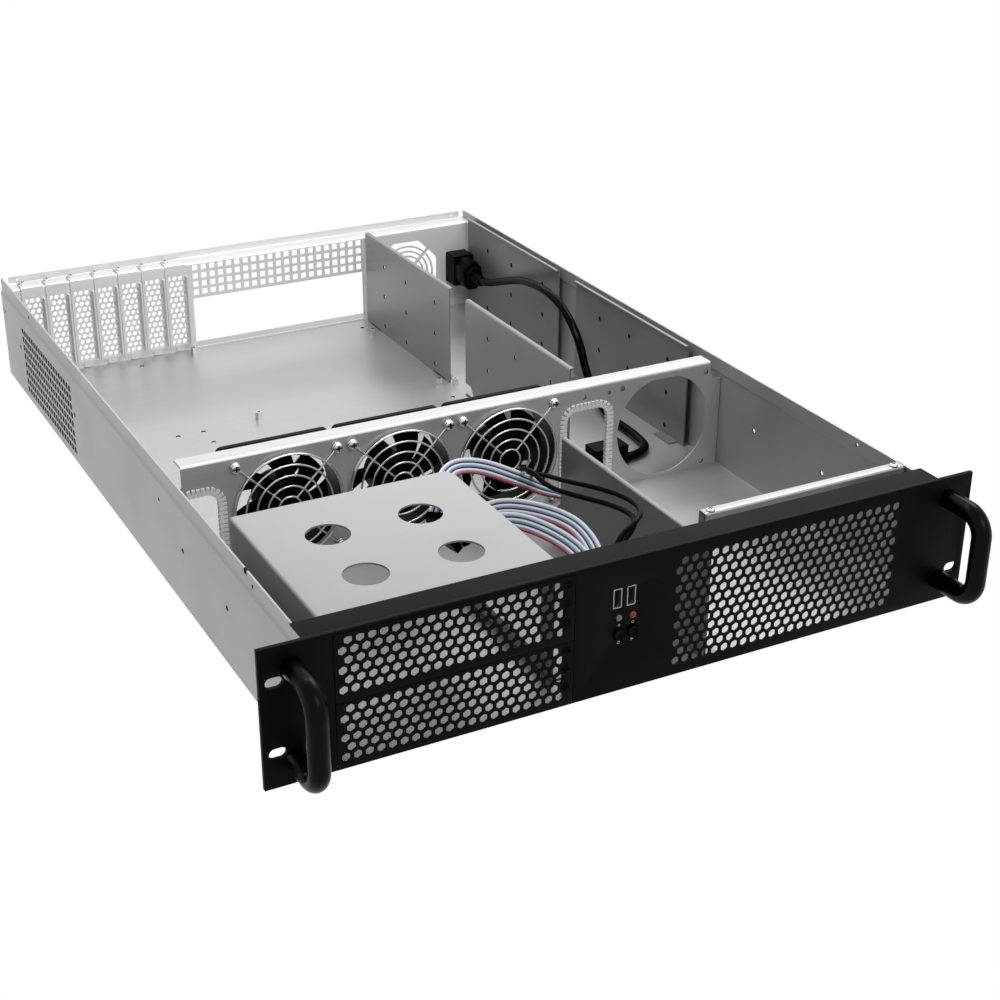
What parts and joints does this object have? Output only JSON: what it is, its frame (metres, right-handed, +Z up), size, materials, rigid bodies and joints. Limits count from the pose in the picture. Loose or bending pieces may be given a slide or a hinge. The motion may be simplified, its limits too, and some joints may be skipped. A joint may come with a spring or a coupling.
{
  "type": "rackmount server case",
  "caption": "Empty 2U rackmount server case with its lid off: folded steel tray, perforated black front with bow handles, fan wall, drive plates and slotted rear panel.",
  "frame": {"origin": "front face of the front panel, in the middle of the four ear slots", "axes": "+Y from the panel's front face to the rear, +X to the right seen from the front, +Z up"},
  "size_m": [0.4826, 0.6999, 0.0882],
  "materials": {
    "galvanised": "zinc coated sheet with a faint brushed grain",
    "light_steel": "light matte zinc coated sheet",
    "black_coat": "fine textured black powder coat",
    "satin_black": "satin black",
    "chrome_wire": "bright plated wire and screws",
    "black_plastic": "moulded black",
    "white_nylon": "white nylon strip",
    "lead_jacket": "smooth black jacket",
    "ribbon": "grey ribbon with pale blue lines and one red edge",
    "ribbon_plug": "black moulded plug",
    "board": "dark circuit board",
    "clear_light": "clear bluish lens",
    "red_light": "red lens",
    "button": "black cap"
  },
  "bodies": {
    "case": {"bay_cover_lower": "black_coat", "bay_cover_upper": "black_coat", "black_lead_1": "lead_jacket", "black_lead_2": "lead_jacket", "black_plug": "black_plastic", "button_switches": "black_plastic", "chassis_tray": "galvanised", "control_board": "board", "divider_plate": "galvanised", "drive_bay_cage": "light_steel", "drive_light": "red_light", "drive_plate_1": "galvanised", "drive_plate_2": "galvanised", "drive_plate_3": "galvanised", "drive_plate_4": "galvanised", "edging_left": "white_nylon", "edging_right": "white_nylon", "fan_frame_1": "black_plastic", "fan_frame_2": "black_plastic", "fan_frame_3": "black_plastic", "fan_guard_1": "chrome_wire", "fan_guard_2": "chrome_wire", "fan_guard_3": "chrome_wire", "fan_wall": "galvanised", "front_panel": "black_coat", "front_rail": "galvanised", "guard_screws": "chrome_wire", "handle_left": "satin_black", "handle_right": "satin_black", "handle_screws": "chrome_wire", "inlet_plug": "black_plastic", "inlet_screws": "black_plastic", "lead_socket": "black_plastic", "power_inlet": "black_plastic", "power_lead": "lead_jacket", "power_light": "clear_light", "rail_screws": "chrome_wire", "rear_panel": "galvanised", "ribbon_1": "ribbon", "ribbon_2": "ribbon", "ribbon_3": "ribbon", "ribbon_plug_1": "ribbon_plug", "ribbon_plug_2": "ribbon_plug", "ribbon_plug_3": "ribbon_plug", "slot_cover_1": "galvanised", "slot_cover_2": "galvanised", "slot_cover_3": "galvanised", "slot_cover_4": "galvanised", "slot_cover_5": "galvanised", "slot_cover_6": "galvanised", "slot_cover_7": "galvanised", "slot_screws": "chrome_wire", "standoffs": "galvanised", "usb_ports": "chrome_wire"},
    "spinner_1": {"fan_rotor_1": "black_plastic"},
    "spinner_2": {"fan_rotor_2": "black_plastic"},
    "spinner_3": {"fan_rotor_3": "black_plastic"},
    "power_button_body": {"power_button": "button"},
    "reset_button_body": {"reset_button": "button"}
  },
  "joints": [
    {"name": "fan_spin_1", "type": "hinge", "parent": "case", "child": "spinner_1", "pos_m": [-0.1299, 0.2537, -0.00125], "axis": [0, 1, 0], "continuous": true},
    {"name": "fan_spin_2", "type": "hinge", "parent": "case", "child": "spinner_2", "pos_m": [-0.04745, 0.2537, -0.00125], "axis": [0, 1, 0], "continuous": true},
    {"name": "fan_spin_3", "type": "hinge", "parent": "case", "child": "spinner_3", "pos_m": [0.035, 0.2537, -0.00125], "axis": [0, 1, 0], "continuous": true},
    {"name": "power_button_press", "type": "slide", "parent": "case", "child": "power_button_body", "axis": [0, 1, 0], "range_m": [0, 0.0014], "stiffness_N_per_m": 400},
    {"name": "reset_button_press", "type": "slide", "parent": "case", "child": "reset_button_body", "axis": [0, 1, 0], "range_m": [0, 0.0014], "stiffness_N_per_m": 400}
  ]
}
